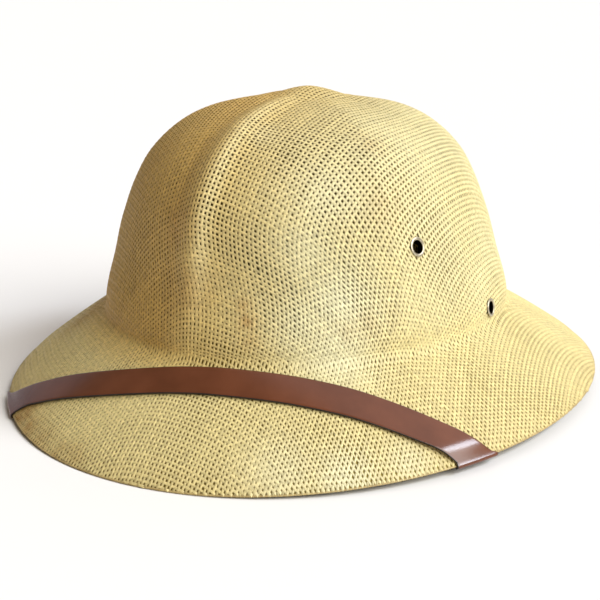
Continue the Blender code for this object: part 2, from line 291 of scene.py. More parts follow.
# A grid of unit squares whose corners count columns along X and rows along Y, at this height
def addGrid(mesh, columns, rows, height=0.0):
    place = Matrix.Translation((0.5 * columns, 0.5 * rows, height))
    place = place @ Matrix.Diagonal((columns, rows, 1.0, 1.0))
    bmesh.ops.create_grid(
        mesh, x_segments=columns, y_segments=rows, size=0.5, matrix=place, calc_uvs=True
    )


# Gives a finished mesh its object and rides it on the hat, in place of the imported parts it hides
def addPiece(name, mesh, materials, slot, *nodes):
    data = bpy.data.meshes.new(name)
    mesh.to_mesh(data)
    mesh.free()
    for material in materials:
        data.materials.append(material)
    data.shade_smooth()
    piece = bpy.data.objects.new(name, data)
    bpy.context.scene.collection.objects.link(piece)
    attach(piece, "root")
    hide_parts(*nodes)


# The weave. The cloth was woven flat, with yarns along X and along Y, and pressed over a block.
# clothDraw says how the block drew it: at each arc from the top, how far its yarns are turned towards
# the bias between the four straight directions, and which share of the arc they give up there.
weave = {
    "pitch": 0.0024,
    "yarnWidth": 0.00151,
    "crimp": 0.000055,
    "sampleStep": 0.0006,
    "reachAlong": 0.275,
    "edgeMargin": 0.0005,
    "eyeletMargin": 0.0041,
    "endGap": 0.2,  # least stretch from a yarn's end to a crossing, in pitches
    "measureStep": 0.25,  # in pitches
    "blockRounds": 14,
    "lengthTurn": 4.0,
    "lengthSteps": 160,
    "twist": -6.0,
    "twistFrom": 0.110,
    "twistOver": 0.060,
    "widthSpread": 0.06,
    "widthMost": 1.5,  # in spreads
    "placeSpread": 0.00010,
    "placeMost": 2.0,  # in spreads
    "waveHeight": 0.05,
    "waveLengths": (0.003, 0.008),
    "wavePhase": 6.28,
    "keepWidth": 0.55,
    "slack": 0.07,
    "slackLength": 0.013,
    "openness": 0.06,
    "openTurn": -10.0,
    "openFrom": 0.03,
    "undersideAt": 4,  # the side of the section that faces down
    "pieces": 3,
    "seed": 7,
}

# A yarn's section: pressed flat above, with the sides of the holes below
yarnSection = (
    # across, depth, holeShade: the share of painted shade
    (1.00, 0.00012, 0.30),
    (0.55, 0.0, 0.0),
    (-0.55, 0.0, 0.0),
    (-1.00, 0.00012, 0.30),
    (-0.92, 0.00075, 1.0),
    (0.92, 0.00075, 1.0),
)

clothDraw = (
    # arc, turned, drawnIn
    (0.000, 0.00, 0.000),
    (0.055, 0.00, 0.000),
    (0.080, 0.02, 0.016),
    (0.110, 0.09, 0.044),
    (0.137, 0.20, 0.078),
    (0.160, 0.27, 0.105),
    (0.190, 0.28, 0.129),
    (0.230, 0.24, 0.152),
    (0.275, 0.22, 0.165),
)


# The lengths of the cloth from the top to the foot and from the foot to the edge, at each turn
def clothLengths():
    turns = np.arange(-180.0, 181.0, weave["lengthTurn"])
    lengths = []
    for start, end in ((-1.0, 0.0), (0.0, 1.0)):
        ways = np.linspace(start, end, weave["lengthSteps"])[:, None]
        points = cloth(turns[None, :], ways)
        lengths.append(np.linalg.norm(np.diff(points, axis=0), axis=-1).sum(axis=0))
    return turns, lengths[0], lengths[1]


clothTurns, clothArcs, clothSlants = clothLengths()


# Where a place of the flat cloth lies on the block, as turn and way, in rounds that come closer
def blocked(a, b):
    reach = np.hypot(a, b)
    aim = np.arctan2(a, -b)
    arc, phi = reach, aim
    for _ in range(weave["blockRounds"]):
        drawnIn = through(column(clothDraw, 0), column(clothDraw, 2), arc)
        turned = through(column(clothDraw, 0), column(clothDraw, 1), arc)
        arc = reach / (1.0 - drawnIn * np.sin(2.0 * phi) ** 2)
        phi = aim + turned * np.sin(4.0 * phi) / 4.0
    twist = weave["twist"] * smooth((arc - weave["twistFrom"]) / weave["twistOver"])
    turn = (np.degrees(phi) - twist + 180.0) % 360.0 - 180.0
    crownLong = np.interp(turn, clothTurns, clothArcs)
    brimLong = np.interp(turn, clothTurns, clothSlants)
    way = np.where(arc < crownLong, arc / crownLong - 1.0, (arc - crownLong) / brimLong)
    return turn, way, brimLong


# Towards its edge the pressed brim thins, and only its upper face falls
hem = {"fall": 0.00085, "reach": 0.011, "thin": 0.45}


def hemFall(turn, way):
    inset = (1.0 - way) * np.interp(turn, clothTurns, clothSlants)
    return hem["fall"] * (1.0 - smooth(inset / hem["reach"]))


eyelets = {
    "radius": 0.0048,
    "holeRadius": 0.0033,
    "metal": 0.0003,
    "roll": 0.00045,
    "backRadius": 0.0042,
    "backSeat": 0.0003,
    "clearance": 0.0003,
    "steps": 40,
    "rollSteps": 8,
    "deep": 0.01,  # how far along its axis an eyelet clears the cloth
    # Where the cloth is measured against the eyelets, by turn and way
    "nearTurn": 77.0,
    "nearReach": 25.0,
    "nearTop": -0.6,
    "nearLow": 0.1,
    "places": (
        # name, turn, height
        ("front", 64.0, 0.438),
        ("rear", 89.5, 0.081),
    ),
}


# Each eyelet's name and its seat, with Z out of the cloth
def eyeletSeats():
    seats = []
    for side, sign in (("left", 1.0), ("right", -1.0)):
        for name, turn, height in eyelets["places"]:
            way = wayAt(height)
            normal = Vector(outward(sign * turn, way))
            turned = normal.to_track_quat("Z", "Y").to_matrix().to_4x4()
            place = Matrix.Translation(Vector(cloth(sign * turn, way)))
            seats.append((f"{side}_{name}", place @ turned))
    return seats


seats = eyeletSeats()


# How far inside the cloth a place lies: from the brim's edge and from the eyelets' holes
def clothMargin(a, b):
    turn, way, brimLong = blocked(a, b)
    margin = (1.0 - way) * brimLong - weave["edgeMargin"]
    margin = np.where(way < 0.0, weave["pitch"], margin)
    close = np.abs(np.abs(turn) - eyelets["nearTurn"]) < eyelets["nearReach"]
    close = close & (way > eyelets["nearTop"]) & (way < eyelets["nearLow"])
    points = cloth(turn[close], way[close])
    near = np.full(points.shape[0], weave["pitch"])
    for _, seat in seats:
        offset = points - np.array(seat.translation)
        axis = np.array(seat.col[2][:3])
        beside = offset - (offset @ axis)[:, None] * axis
        clear = np.linalg.norm(beside, axis=1) - weave["eyeletMargin"]
        near = np.minimum(near, np.where(np.abs(offset @ axis) < eyelets["deep"], clear, near))
    margin[close] = np.minimum(margin[close], near)
    return margin


# Where the straw is stained: spots of the finish, and the band along the edge where most of it has
# gathered, which wavers in waves that bunch up here and there
stains = {
    "edgeReach": 0.013,
    "edgeStrength": 0.14,
    "waver": 0.35,
    "waves": 5.0,
    "bunching": 2.0,
    "bunches": 2.0,
    "spots": (
        # turn, way, reach, strength
        (14.0, -0.16, 0.0045, 0.45),
        (15.5, -0.12, 0.0050, 0.65),
        (16.0, -0.07, 0.0050, 0.35),
        (40.0, -0.09, 0.0060, 0.20),
        (45.0, -0.10, 0.0070, 0.22),
        (53.0, -0.11, 0.0060, 0.15),
        (57.0, -0.60, 0.0080, 0.25),
        (55.0, -0.40, 0.0110, 0.25),
        (-2.0, -0.18, 0.0120, 0.30),
        (-9.0, -0.36, 0.0120, 0.30),
        (-33.0, 0.93, 0.0110, 1.0),
        (-27.0, 0.95, 0.0090, 0.8),
        (-21.0, 0.96, 0.0080, 0.6),
        (-15.0, 0.97, 0.0070, 0.5),
        (-57.0, 0.30, 0.0130, 0.6),
        (-63.0, 0.12, 0.0080, 0.5),
        (-12.0, 0.96, 0.0080, 0.5),
        (128.0, 0.90, 0.0100, 0.4),
        (160.0, -0.15, 0.0080, 0.5),
    ),
}

# Painted highlights: paler patches on the side of the front that is turned to the key lamp
paintedHighlightSpots = (
    # turn, way, reach, strength
    (38.0, -0.03, 0.020, 0.75),
    (30.0, -0.12, 0.018, 0.55),
    (44.0, -0.14, 0.016, 0.45),
    (30.0, -0.30, 0.016, 0.45),
    (36.0, -0.45, 0.016, 0.40),
    (39.0, -0.17, 0.018, 0.80),
    (9.0, -0.66, 0.010, 0.60),
    (38.0, 0.93, 0.016, 0.80),
    (28.0, 0.85, 0.018, 0.50),
    (48.0, 0.90, 0.012, 0.50),
)

# Painted highlight: the crest of the front ridge is made pale on its side turned to the key lamp
paintedCrestHighlight = {"turn": 0.3, "reach": 0.0042, "strength": 1.0, "way": -0.5, "wayReach": 0.34}


# How strong the spots are at each point, where the strongest counts
def strongest(spots, points):
    strength = np.zeros(len(points))
    for turn, way, reach, most in spots:
        away = np.linalg.norm(points - cloth(turn, way), axis=-1)
        strength = np.maximum(strength, most * np.exp(-((away / reach) ** 2)))
    return strength


# Painted highlight: how strong the pale patches and the pale crest are at each point
def paintedHighlightAt(turn, way, points):
    away = meanRadius(np.maximum(-way, 0.0)) * np.radians(turn - paintedCrestHighlight["turn"])
    along = (way - paintedCrestHighlight["way"]) / paintedCrestHighlight["wayReach"]
    crest = np.exp(-((away / paintedCrestHighlight["reach"]) ** 2) - along**4)
    return np.maximum(strongest(paintedHighlightSpots, points), paintedCrestHighlight["strength"] * crest)


def stainAt(turn, way, points):
    inset = (1.0 - way) * np.interp(turn, clothTurns, clothSlants)
    bunched = stains["bunching"] * np.sin(np.radians(stains["bunches"] * turn))
    wave = np.sin(np.radians(stains["waves"] * turn) + bunched)
    most = stains["edgeStrength"] * (1.0 - stains["waver"] + stains["waver"] * wave)
    stain = most * np.exp(-((inset / stains["edgeReach"]) ** 2))
    return np.maximum(stain, strongest(stains["spots"], points))


# The yarns of one direction, each as its place across and the stations of its rings along it
def yarnRuns(along, places, crossings, sign):
    endGap = weave["endGap"] * weave["pitch"]
    samples = np.arange(-weave["reachAlong"], weave["reachAlong"], weave["sampleStep"])
    across, stations = np.meshgrid(places, samples, indexing="ij")
    margins = clothMargin(stations, across) if along == "a" else clothMargin(across, stations)
    yarns = []
    for index, row in enumerate(margins):
        inside = row > 0.0
        changes = np.flatnonzero(inside[1:] != inside[:-1])
        ends = samples[changes] + weave["sampleStep"] * row[changes] / (row[changes] - row[changes + 1])
        over = (index + np.arange(len(crossings))) % 2 == 0
        heights = sign * weave["crimp"] * np.where(over, 1.0, -1.0)
        for start, end in zip(ends[0::2], ends[1::2]):
            if end - start < weave["pitch"]:
                continue
            between = (crossings > start + endGap) & (crossings < end - endGap)
            rings = np.concatenate([[start], crossings[between], [end]])
            yarns.append((index, places[index], rings, np.interp(rings, crossings, heights)))
    return yarns


# How wide the block has drawn the cloth there, square to the yarn
def drawnWidth(along, stations, places):
    step = weave["measureStep"] * weave["pitch"]
    points = []
    for onward, aside in ((-step, 0.0), (step, 0.0), (0.0, -step), (0.0, step)):
        a, b = stations + onward, places + aside
        turn, way, _ = blocked(a, b) if along == "a" else blocked(b, a)
        points.append(cloth(turn, way))
    onward = unit(points[1] - points[0])
    return np.linalg.norm(np.cross(onward, points[3] - points[2]), axis=-1) / (2.0 * step)


# The two waves that cross in the cloth, with lengths as shares of the slack's
slackWaves = (
    # length, bend, bendLength
    (1.0, 1.7, 1.4),
    (0.8, 1.3, 1.7),
)


# How the yarns' width wavers over the cloth, so that its holes are wider in some patches than in
# others, and wider at the front, where the block pulled hardest, than at the sides
def slack(a, b):
    wave = 0.0
    for (onward, aside), (length, bend, bendLength) in zip(((a, b), (b, a)), slackWaves):
        bent = bend * np.sin(aside / (bendLength * weave["slackLength"]))
        wave = wave + np.sin(onward / (length * weave["slackLength"]) + bent)
    pulled = np.cos(np.arctan2(a, -b) - math.radians(weave["openTurn"]))
    pulled = pulled * smooth(np.hypot(a, b) / weave["openFrom"])
    return weave["slack"] * wave + weave["openness"] * pulled


# A grid for each yarn: its rings along X, the sides of its section along Y and its number along Z
def yarnGrids(yarns):
    mesh = bmesh.new()
    mesh.loops.layers.uv.new("yarn")
    for k, (_, _, rings, _) in enumerate(yarns):
        addGrid(mesh, len(rings) - 1, len(yarnSection), k)
    data = bpy.data.meshes.new("yarns")
    mesh.to_mesh(data)
    mesh.free()
    return data


# The yarns' grids wrapped to their sections and laid on the block, with what the straw's finish reads
def yarnMesh(along, yarns, looks):
    sides = len(yarnSection)
    data = yarnGrids(yarns)
    counts = np.empty(len(data.vertices) * 3, np.float32)
    data.vertices.foreach_get("co", counts)
    ring, side, yarn = np.rint(counts.reshape(-1, 3)).astype(int).T
    starts = np.cumsum([0] + [len(rings) for _, _, rings, _ in yarns])[:-1]
    allRings = np.concatenate([rings for _, _, rings, _ in yarns])
    allHeights = np.concatenate([heights for _, _, _, heights in yarns])
    index = np.array([k for k, _, _, _ in yarns])
    place = np.array([p for _, p, _, _ in yarns])[yarn]
    allPlaces = np.concatenate([np.full(len(rings), p) for _, p, rings, _ in yarns])
    drawn = drawnWidth(along, allRings, allPlaces) ** -weave["keepWidth"]
    loose = slack(allRings, allPlaces) if along == "a" else slack(allPlaces, allRings)
    drawn = drawn * (1.0 - loose)
    station = allRings[starts[yarn] + ring]
    height = allHeights[starts[yarn] + ring]

    shares, depths, holeShades = [np.array(column(yarnSection, k))[side % sides] for k in range(3)]
    wide = 0.5 * weave["yarnWidth"] * looks["width"][index][yarn] * drawn[starts[yarn] + ring]
    wave = np.sin(station / looks["waveLength"][index][yarn] + looks["wavePhase"][index][yarn])
    wide = np.minimum(wide * (1.0 + weave["waveHeight"] * wave), 0.5 * weave["pitch"])
    across = place + wide * shares
    a, b = (station, across) if along == "a" else (across, station)
    turn, way, _ = blocked(a, b)
    fall = hemFall(turn, way)
    lift = height - weave["crimp"] - fall - depths * (1.0 - hem["thin"] * fall / hem["fall"])
    points = cloth(turn, way) + outward(turn, way) * lift[:, None]
    data.vertices.foreach_set("co", points.astype(np.float32).ravel())

    looksAt = {
        "tone": looks["tone"][index][yarn],
        "stain": stainAt(turn, way, points),
        "paintedHighlight": paintedHighlightAt(turn, way, points),
        "holeShade": holeShades,
    }
    for name, values in looksAt.items():
        attribute = data.attributes.new(name, "FLOAT", "POINT")
        attribute.data.foreach_set("value", values.astype(np.float32))
    corners = np.empty(len(data.loops), np.int32)
    data.loops.foreach_get("vertex_index", corners)
    uv = np.stack([station[corners], side[corners] / sides], -1)
    quads = np.arange(0, len(corners), 4)
    lastSide = np.repeat(np.maximum.reduceat(uv[:, 1], quads), 4)
    uv[:, 1] = np.where((uv[:, 1] == 0.0) & (lastSide > 0.5), 1.0, uv[:, 1])
    data.uv_layers["yarn"].data.foreach_set("uv", uv.astype(np.float32).ravel())
    underside = np.minimum.reduceat(side[corners], quads) == weave["undersideAt"]
    data.polygons.foreach_set("material_index", underside.astype(np.int32))

    mesh = bmesh.new()
    mesh.from_mesh(data)
    bpy.data.meshes.remove(data)
    bmesh.ops.remove_doubles(mesh, verts=mesh.verts[:], dist=mergeDistance)
    bmesh.ops.holes_fill(mesh, edges=[edge for edge in mesh.edges if edge.is_boundary], sides=0)
    bmesh.ops.recalc_face_normals(mesh, faces=mesh.faces[:])
    return mesh


# What differs from yarn to yarn
def yarnLooks(count, draw):
    most = weave["widthMost"]
    return {
        "width": 1.0 + weave["widthSpread"] * draw.normal(size=count).clip(-most, most),
        "tone": draw.uniform(0.0, 1.0, size=count),
        "waveLength": draw.uniform(*weave["waveLengths"], size=count),
        "wavePhase": draw.uniform(0.0, weave["wavePhase"], size=count),
    }


# The yarns in groups of about as many rings each, so that no piece grows too large
def inGroups(yarns):
    ringCounts = np.cumsum([len(rings) for _, _, rings, _ in yarns])
    group = (ringCounts - 1) * weave["pieces"] // ringCounts[-1]
    return [[yarn for yarn, g in zip(yarns, group) if g == k] for k in range(weave["pieces"])]


def weaveHat(finishes):
    draw = np.random.default_rng(weave["seed"])
    count = 2 * int(weave["reachAlong"] / weave["pitch"]) + 1
    middle = (count - 1) // 2
    most = weave["placeMost"]
    places = {}
    for family in ("warp", "weft"):
        aside = weave["placeSpread"] * draw.normal(size=count).clip(-most, most)
        places[family] = (np.arange(count) - middle) * weave["pitch"] + aside
    triangles = 0
    for family, other, along, sign in (("warp", "weft", "b", 1.0), ("weft", "warp", "a", -1.0)):
        looks = yarnLooks(count, draw)
        yarns = yarnRuns(along, places[family], places[other], sign)
        for k, group in enumerate(inGroups(yarns)):
            mesh = yarnMesh(along, group, looks)
            triangles += sum(len(face.verts) - 2 for face in mesh.faces)
            addPiece(f"{family}{k + 1}", mesh, finishes, "straw", "straw_body")
    print("weave:", triangles, "triangles")


# Paper straw: a twisted paper strip woven plain, pressed on a heated block and sized, so it is matt
# with a faint sheen, cream on the crown, yellower on the brim, and orange where the size has gathered
strawColours = {
    "cream": "d4c996",
    "yellow": "d8c789",
    "stain": "a87a34",
    # The colour of the painted highlights
    "paintedHighlight": "e2ddb4",
    # Painted shade, for the yarns' sides in the holes
    "inside": "563c0c",
    # The next two colours are painted shade, for the crown's side away from the key lamp
    "paintedShadeWarm": "fff0d4",
    "paintedShadeBrown": "e8cb98",
    # The next three colours are painted shade, seen through the holes
    "holeShadeCrown": "2e2206",
    "holeShadeBrim": "67551c",
    "holeShadeLitSide": "94843e",
}


# Painted shade: the straw darkens into its holes, between the yarns, where shade falls. Their lower
# faces, which line the hat, hardly do.
def strawMaterial(name, darkening):
    material, tree, shader = newMaterial(name)
    place = addNode(tree, "ShaderNodeTexCoord").outputs["Object"]
    axes = addNode(tree, "ShaderNodeSeparateXYZ", {"Vector": place}).outputs
    tone, stain, paintedHighlight, holeShade = [
        addNode(tree, "ShaderNodeAttribute", attribute_name=layer).outputs["Fac"]
        for layer in ("tone", "stain", "paintedHighlight", "holeShade")
    ]
    # It yellows down the brim, in clouds about 40 mm wide and a little from yarn to yarn
    onBrim = addNode(
        tree, "ShaderNodeMapRange", {"Value": axes["Z"], "From Min": 0.070, "From Max": 0.030}
    ).outputs["Result"]
    cloud = addNode(
        tree, "ShaderNodeTexNoise", {"Vector": place, "Scale": 24.0, "Detail": 4.0}
    ).outputs["Fac"]
    yellow = addNode(
        tree, "ShaderNodeMath", {0: cloud, 1: 1.6, 2: onBrim}, operation="MULTIPLY_ADD"
    ).outputs[0]
    yellow = addNode(
        tree, "ShaderNodeMath", {0: tone, 1: 0.25, 2: yellow}, operation="MULTIPLY_ADD"
    ).outputs[0]
    yellow = addNode(
        tree, "ShaderNodeMapRange", {"Value": yellow, "From Min": 0.55, "From Max": 1.75}
    ).outputs["Result"]
    colour = addNode(
        tree, "ShaderNodeValToRGB", {"Fac": yellow},
        stops=((0.0, strawColours["cream"]), (1.0, strawColours["yellow"])),
    ).outputs["Color"]
    # Painted highlights and stained places, the stains in blotches about 6 mm wide
    colour = addNode(
        tree, "ShaderNodeMix", {"Factor": paintedHighlight, "A": colour, "B": linear(strawColours["paintedHighlight"])},
        data_type="RGBA",
    ).outputs["Result"]
    blotch = addNode(
        tree, "ShaderNodeTexNoise", {"Vector": place, "Scale": 160.0, "Detail": 2.0}
    ).outputs["Fac"]
    blotch = addNode(
        tree, "ShaderNodeMapRange", {"Value": blotch, "From Min": 0.35, "From Max": 0.65, "To Min": 0.5}
    ).outputs["Result"]
    stained = addNode(tree, "ShaderNodeMath", {0: stain, 1: blotch}, operation="MULTIPLY").outputs[0]
    colour = addNode(
        tree, "ShaderNodeMix", {"Factor": stained, "A": colour, "B": linear(strawColours["stain"])},
        data_type="RGBA",
    ).outputs["Result"]
    # Painted shade: the wearer's right side of the crown, away from the key lamp, is made browner than
    # the left, which is turned to it
    right = addNode(
        tree, "ShaderNodeMapRange", {"Value": axes["X"], "From Min": 0.048, "From Max": -0.016}
    ).outputs["Result"]
    onCrown = addNode(
        tree, "ShaderNodeMapRange", {"Value": axes["Z"], "From Min": 0.030, "From Max": 0.043}
    ).outputs["Result"]
    paintedShadeBrown = addNode(tree, "ShaderNodeMath", {0: right, 1: onCrown}, operation="MULTIPLY").outputs[0]
    paintedShadeTint = addNode(
        tree, "ShaderNodeValToRGB", {"Fac": paintedShadeBrown},
        stops=((0.0, "ffffff"), (0.72, strawColours["paintedShadeWarm"]), (1.0, strawColours["paintedShadeBrown"])),
    ).outputs["Color"]
    colour = addNode(
        tree, "ShaderNodeMix", {"Factor": 1.0, "A": colour, "B": paintedShadeTint},
        data_type="RGBA", blend_type="MULTIPLY",
    ).outputs["Result"]
    # Painted shade down the yarns' sides, into the holes
    holeShade = addNode(tree, "ShaderNodeMath", {0: holeShade, 1: darkening}, operation="MULTIPLY").outputs[0]
    colour = addNode(
        tree, "ShaderNodeMix", {"Factor": holeShade, "A": colour, "B": linear(strawColours["inside"])},
        data_type="RGBA",
    ).outputs["Result"]
    # Flecks about 1.5 mm long, for the turns of the twisted paper, which come out lighter and darker
    fleck = addNode(
        tree, "ShaderNodeTexNoise", {"Vector": place, "Scale": 650.0, "Detail": 2.0}
    ).outputs["Fac"]
    fleck = addNode(
        tree, "ShaderNodeMapRange",
        {"Value": fleck, "From Min": 0.3, "From Max": 0.7, "To Min": 0.78, "To Max": 1.16},
    ).outputs["Result"]
    shade = addNode(
        tree, "ShaderNodeMapRange", {"Value": tone, "To Min": 0.92, "To Max": 1.06}
    ).outputs["Result"]
    shade = addNode(tree, "ShaderNodeMath", {0: fleck, 1: shade}, operation="MULTIPLY").outputs[0]
    flecked = addNode(
        tree, "ShaderNodeMix", {"Factor": 1.0, "A": colour, "B": shade},
        data_type="RGBA", blend_type="MULTIPLY",
    )
    tree.links.new(flecked.outputs["Result"], shader.inputs["Base Color"])
    shader.inputs["Roughness"].default_value = 0.6
    shader.inputs["IOR"].default_value = 1.5
    return material


# A grid wrapped to the rows of points, with its seams joined and its ends filled. Its finishes are
# numbers, one for each column.
def wrapGrid(points, finishes=None, fillRims=True):
    rows, columns = points.shape[:2]
    mesh = bmesh.new()
    mesh.loops.layers.uv.new("wrap")
    addGrid(mesh, columns - 1, rows - 1)
    for face in mesh.faces:
        face.material_index = finishes[int(face.calc_center_median().x)] if finishes else 0
    for vertex in mesh.verts:
        vertex.co = points[round(vertex.co.y), round(vertex.co.x)]
    bmesh.ops.remove_doubles(mesh, verts=mesh.verts[:], dist=mergeDistance)
    rims = [edge for edge in mesh.edges if edge.is_boundary]
    if rims and fillRims:
        bmesh.ops.holes_fill(mesh, edges=rims, sides=0)
    bmesh.ops.recalc_face_normals(mesh, faces=mesh.faces[:])
    return mesh


# A dark film in the holes of the weave, over half way down the yarns: painted shade for the dark inside
# seen through them
film = {
    "depth": 0.00048,
    "thickness": 0.00008,
    "turnSteps": 288,
    "crownSteps": 72,
    "brimSteps": 34,
    "edgeInset": 0.0006,
    "eyeletRoom": 0.0038,
}


# Spin and solidify give their faces in another order on each run. Sorted by place, it is always one.
def sortByPlace(mesh):
    for parts, place in (
        (mesh.verts, lambda vertex: vertex.co[:]),
        (mesh.faces, lambda face: face.calc_center_median()[:]),
    ):
        for rank, part in enumerate(sorted(parts, key=place)):
            part.index = rank
        parts.sort()


def holeShadeFilm(shadeFinish):
    turns = np.linspace(-180.0, 180.0, film["turnSteps"] + 1)
    slants = np.interp(turns, clothTurns, clothSlants)
    shares = np.concatenate([
        np.linspace(-1.0, 0.0, film["crownSteps"], endpoint=False),
        np.linspace(0.0, 1.0, film["brimSteps"] + 1),
    ])
    rows = []
    for share in shares:
        ways = np.minimum(share, 1.0 - film["edgeInset"] / slants)
        fall = hemFall(turns, ways)
        depth = film["depth"] * (1.0 - hem["thin"] * fall / hem["fall"]) + fall
        rows.append(cloth(turns, ways) - depth[:, None] * outward(turns, ways))
    rows[0][:] = rows[0].mean(axis=0)
    mesh = wrapGrid(np.array(rows), fillRims=False)
    cut = set()
    for _, seat in seats:
        inverse = seat.inverted()
        for vertex in mesh.verts:
            local = inverse @ vertex.co
            if math.hypot(local.x, local.y) < film["eyeletRoom"] and abs(local.z) < eyelets["deep"]:
                cut.update(vertex.link_faces)
    bmesh.ops.delete(mesh, geom=list(cut), context="FACES")
    bmesh.ops.solidify(mesh, geom=mesh.faces[:], thickness=film["thickness"])
    sortByPlace(mesh)
    bmesh.ops.recalc_face_normals(mesh, faces=mesh.faces[:])
    print("film of size:", len(mesh.faces), "faces")
    addPiece("holeShadeFilm", mesh, [shadeFinish], "straw", "straw_body")


# The cut edge of the brim, where the size that stiffens the straw has closed the weave
brimEdge = {
    "steps": 288,
    "inset": (0.0010, 0.0007, 0.0003, 0.0, 0.0, 0.0002, 0.0007, 0.0010),
    "depth": (0.78, 0.60, 0.59, 0.66, 0.86, 0.98, 1.00, 0.90),
}


def sealBrimEdge(shadeFinish):
    turns = np.linspace(-180.0, 180.0, brimEdge["steps"] + 1)
    slants = np.interp(turns, clothTurns, clothSlants)
    floor = hemHeight(turns)
    columns = []
    for inset, depth in zip(brimEdge["inset"], brimEdge["depth"]):
        ways = 1.0 - inset / slants
        points = cloth(turns, ways) - depth * form["wall"] * outward(turns, ways)
        points[:, 2] = np.maximum(points[:, 2], floor)
        columns.append(points)
    mesh = wrapGrid(np.stack(columns + columns[:1], axis=1))
    print("brim edge:", len(mesh.faces), "faces")
    addPiece("brimEdge", mesh, [shadeFinish], "straw", "straw_body")


# The strap's middle line, as in the part: a reach is a way on the upper face as far as 1, where the
# strap folds round the brim's edge, and past that it is 2 less the way on the lower face. Slant is 0
# where its section stands square to its run, and 1 where it lies along the brim's edge.
strapLine = (
    # turn, reach, slant
    (-77.0, 2.12, 0.0),
    (-77.0, 2.025, 0.0),
    (-77.0, 1.95, 0.0),
    (-76.0, 1.82, 0.0),
    (-72.0, 1.64, 0.0),
    (-65.0, 1.45, 0.1),
    (-57.0, 1.27, 0.4),
    (-49.0, 1.12, 0.8),
    (-40.8, 1.00, 1.0),
    (-34.0, 0.77, 0.6),
    (-27.0, 0.58, 0.1),
    (-18.0, 0.415, 0.0),
    (-8.0, 0.285, 0.0),
    (2.0, 0.20, 0.0),
    (12.0, 0.17, 0.0),
    (22.0, 0.19, 0.0),
    (31.0, 0.25, 0.0),
    (40.0, 0.365, 0.1),
    (48.0, 0.54, 0.4),
    (55.0, 0.765, 0.8),
    (60.2, 1.00, 1.0),
    (65.0, 1.20, 0.7),
    (69.5, 1.42, 0.2),
    (74.0, 1.66, 0.0),
    (76.5, 1.82, 0.0),
    (77.0, 1.95, 0.0),
    (77.0, 2.025, 0.0),
    (77.0, 2.12, 0.0),
)

strap = {
    "width": 0.0156,
    "thickness": 0.0012,
    "clearance": 0.0003,
    "edgeRound": 0.00028,
    "cornerCut": 0.3,  # where the rounding is cut across, as a share of it
    "dome": 0.00006,
    "domeFrom": 4.0,  # where half of it is reached, in roundings from the edge
    "foldThin": 0.5,
    "foldReach": 0.007,
    "stepsPerRow": 10,
    "foldSteps": 16,
    "indexStep": 0.05,
}


# How far the stiff leather stands off the brim before it folds over the edge on the wearer's left
strapRise = (
    # inset, rise
    (0.0, 0.0),
    (0.0035, 0.00085),
    (0.0060, 0.00130),
    (0.0080, 0.00135),
    (0.0120, 0.00110),
    (0.0200, 0.00060),
    (0.0400, 0.0),
)


# The strap's section, as shares of its width and heights over the cloth, and the finish of each side:
# 0 for its face, 1 for its edges and 2 for its flesh side
def strapProfile():
    edge = strap["edgeRound"] / strap["width"]
    cut = strap["cornerCut"]
    low, high = strap["clearance"], strap["clearance"] + strap["thickness"]
    half = [
        (0.5 - edge, low),
        (0.5, low + strap["edgeRound"]),
        (0.5, high - strap["edgeRound"]),
        (0.5 - cut * edge, high - cut * strap["edgeRound"]),
        (0.5 - edge, high),
        (0.5 - strap["domeFrom"] * edge, high + 0.5 * strap["dome"]),
    ]
    left = [(-share, lift) for share, lift in reversed(half)]
    shares, lifts = np.array(half + [(0.0, high + strap["dome"])] + left).T
    return shares, lifts, [1, 1, 1, 1, 0, 0, 0, 0, 1, 1, 1, 1, 2]


# The strap's section at this index along its line, over the brim, under it or at a fold's angle
def strapSection(index, side, fold, shares, lifts):
    stations = np.arange(len(strapLine))
    turn, reach, slant = [float(through(stations, column(strapLine, k), index)) for k in range(3)]
    ends = np.clip([index - strap["indexStep"], index + strap["indexStep"]], 0.0, stations[-1])
    turnRun, reachRun = [np.diff(through(stations, column(strapLine, k), ends))[0] for k in range(2)]
    way = reach if side > 0 else 2.0 - reach
    roundIt, downIt = runs(turn, way)
    normal = outward(turn, way)
    along = unit(roundIt * turnRun + downIt * side * reachRun)
    across = side * np.cross(normal, along)
    chart = np.linalg.pinv(np.stack([roundIt, downIt], -1))
    step = chart @ across
    if slant > 0.0:
        step = step - slant * (chart @ along) * step[1] / (chart @ along)[1]
    turns = turn + shares * strap["width"] * step[0]
    ways = np.minimum(way + shares * strap["width"] * step[1], 1.0)
    if fold is not None:
        ways = np.ones(len(shares))
    base, normal = cloth(turns, ways), outward(turns, ways)
    inset = (1.0 - ways) * np.interp(turns, clothTurns, clothSlants)
    thinned = 1.0 - strap["foldThin"] * np.exp(-((inset / strap["foldReach"]) ** 2))
    lifts = (strap["clearance"] + (lifts - strap["clearance"]) * thinned)[:, None]
    fall = hemFall(turns, ways)[:, None]
    if fold is None and side < 0:
        return base - normal * (form["wall"] + lifts)
    if fold is None:
        rise = through(column(strapRise, 0), column(strapRise, 1), inset) * (turns > 0.0)
        return base + normal * (lifts - fall + rise[:, None])
    past = unit(np.cross(runs(turns, ways)[0], normal))
    turned = math.cos(fold) * normal + math.sin(fold) * past
    half = 0.5 * (form["wall"] - fall)
    return base - (fall + half) * normal + (half + lifts) * turned


